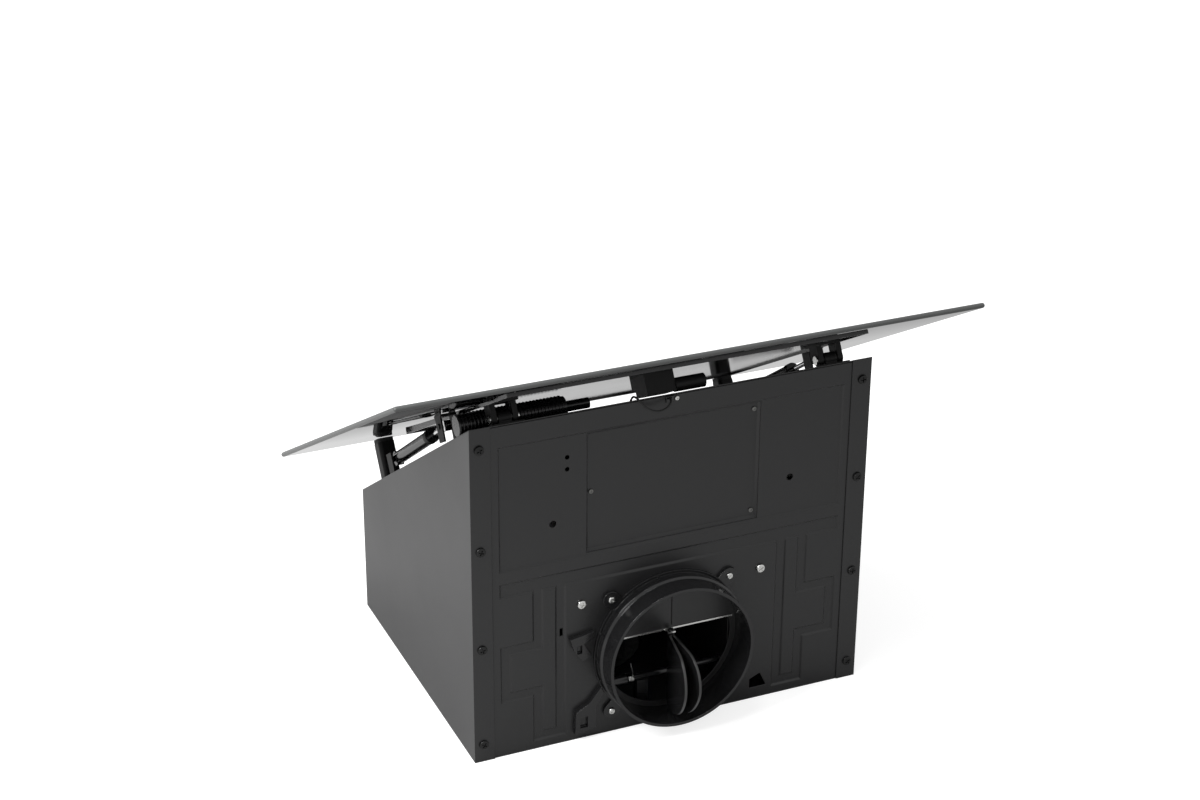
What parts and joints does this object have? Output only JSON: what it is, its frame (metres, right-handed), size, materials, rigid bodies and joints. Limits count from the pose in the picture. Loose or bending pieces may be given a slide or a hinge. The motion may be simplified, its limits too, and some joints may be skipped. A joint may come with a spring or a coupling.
{
  "type": "inclined glass wall hood",
  "caption": "Wall hood with a tilted glass front, lying on its wall face: pressed steel casing, round duct outlet with damper flaps, hinged glass on gas struts and a blower inside.",
  "frame": {"origin": "middle of the wall face, which lies on the floor", "axes": "+Z away from the wall face, -Y out of the duct outlet (the top of the hung hood), +X along the width"},
  "size_m": [0.57, 0.3862, 0.4073],
  "materials": {
    "black_coat": "satin powder coat",
    "steel": "brushed",
    "zinc": "bright zinc plate",
    "grey_steel": "grey lacquer",
    "galvanised": "galvanised",
    "mesh_aluminium": "plain rolled",
    "black_glass": "polished, back printed",
    "black_plastic": "fine grain",
    "white_plastic": "fine grain",
    "rod_chrome": "ground",
    "rubber": "matt",
    "board_green": "lacquered board",
    "motor_cast": "die cast",
    "lens": "frosted",
    "wire_black": "smooth jacket"
  },
  "bodies": {
    "casing": {"outlet_panel": "black_coat", "wall_panel": "galvanised", "lower_panel": "black_coat", "intake_frame": "black_coat", "cover_plate": "black_coat", "casing_screws": "black_coat", "cover_screws": "zinc", "outlet_collar": "black_plastic", "collar_clips": "black_plastic", "collar_screws": "zinc", "damper_yoke": "zinc", "damper_pin": "zinc", "blower_base": "black_coat", "blower_housing": "black_coat", "blower_cover": "black_coat", "throat_stay": "grey_steel", "throat_spring": "zinc", "motor_body": "motor_cast", "motor_bracket": "galvanised", "capacitor": "white_plastic", "control_box": "white_plastic", "control_board": "board_green", "filter_frame_left": "mesh_aluminium", "filter_frame_right": "mesh_aluminium", "filter_mesh_left": "mesh_aluminium", "filter_mesh_right": "mesh_aluminium", "harness_sleeve": "black_plastic", "cable_loop": "wire_black", "cable_clip": "black_plastic", "lamp_bezels": "steel", "lamp_lenses": "lens", "side_panel_left": "black_coat", "side_panel_right": "black_coat", "hinge_base_left": "grey_steel", "hinge_base_right": "grey_steel", "rest_post_left": "black_plastic", "rest_post_right": "black_plastic", "post_cap_left": "rubber", "post_cap_right": "rubber", "strut_mount_left": "grey_steel", "strut_mount_right": "grey_steel"},
    "glass": {"glass_panel": "black_glass", "glass_pan": "black_coat", "touch_module": "black_plastic", "hinge_leaf_left": "black_coat", "hinge_pin_left": "zinc", "strut_bracket_left": "grey_steel", "hinge_leaf_right": "black_coat", "hinge_pin_right": "zinc", "strut_bracket_right": "grey_steel"},
    "impeller": {"impeller_disc": "black_plastic", "impeller_blades": "black_plastic"},
    "damper_left": {"damper_flap_left": "black_plastic"},
    "latch_left": {"filter_latch_left": "black_plastic"},
    "tube_left": {"strut_tube_left": "black_coat"},
    "rod_left": {"strut_rod_left": "rod_chrome"},
    "damper_right": {"damper_flap_right": "black_plastic"},
    "latch_right": {"filter_latch_right": "black_plastic"},
    "tube_right": {"strut_tube_right": "black_coat"},
    "rod_right": {"strut_rod_right": "rod_chrome"}
  },
  "joints": [
    {"name": "glass_hinge", "type": "hinge", "parent": "casing", "child": "glass", "pos_m": [0, -0.14297, 0.34438], "axis": [1, 0, 0], "range_deg": [0, 50]},
    {"name": "strut_swing_left", "type": "hinge", "parent": "casing", "child": "tube_left", "pos_m": [-0.188, 0.07429, 0.20773], "axis": [1, 0, 0], "range_deg": [-15.63, 0.3]},
    {"name": "strut_slide_left", "type": "slide", "parent": "tube_left", "child": "rod_left", "axis": [0, -0.8187, 0.5743], "range_m": [0, 0.04765]},
    {"name": "strut_swing_right", "type": "hinge", "parent": "casing", "child": "tube_right", "pos_m": [0.188, 0.07429, 0.20773], "axis": [1, 0, 0], "range_deg": [-15.63, 0.3]},
    {"name": "strut_slide_right", "type": "slide", "parent": "tube_right", "child": "rod_right", "axis": [0, -0.8187, 0.5743], "range_m": [0, 0.04765]},
    {"name": "damper_hinge_left", "type": "hinge", "parent": "casing", "child": "damper_left", "pos_m": [-0.0035, -0.162, 0.086], "axis": [0, 0, 1], "range_deg": [-80, 0]},
    {"name": "damper_hinge_right", "type": "hinge", "parent": "casing", "child": "damper_right", "pos_m": [-0.0035, -0.162, 0.086], "axis": [0, 0, 1], "range_deg": [0, 90]},
    {"name": "impeller_spin", "type": "hinge", "parent": "casing", "child": "impeller", "pos_m": [-0.06, 0.005, 0.05], "axis": [0, 0, 1], "continuous": true},
    {"name": "latch_slide_left", "type": "slide", "parent": "casing", "child": "latch_left", "axis": [0, 0.8316, -0.5553], "range_m": [0, 0.005], "stiffness_N_per_m": 400, "springref_m": -0.003},
    {"name": "latch_slide_right", "type": "slide", "parent": "casing", "child": "latch_right", "axis": [0, 0.8316, -0.5553], "range_m": [0, 0.005], "stiffness_N_per_m": 400, "springref_m": -0.003}
  ],
  "couplings": [
    {"joint": "strut_swing_left", "follows": "glass_hinge", "ratio": -0.30653},
    {"joint": "strut_slide_left", "follows": "glass_hinge", "m_per_rad": 0.054032},
    {"joint": "strut_swing_right", "follows": "glass_hinge", "ratio": -0.30653},
    {"joint": "strut_slide_right", "follows": "glass_hinge", "m_per_rad": 0.054032}
  ]
}
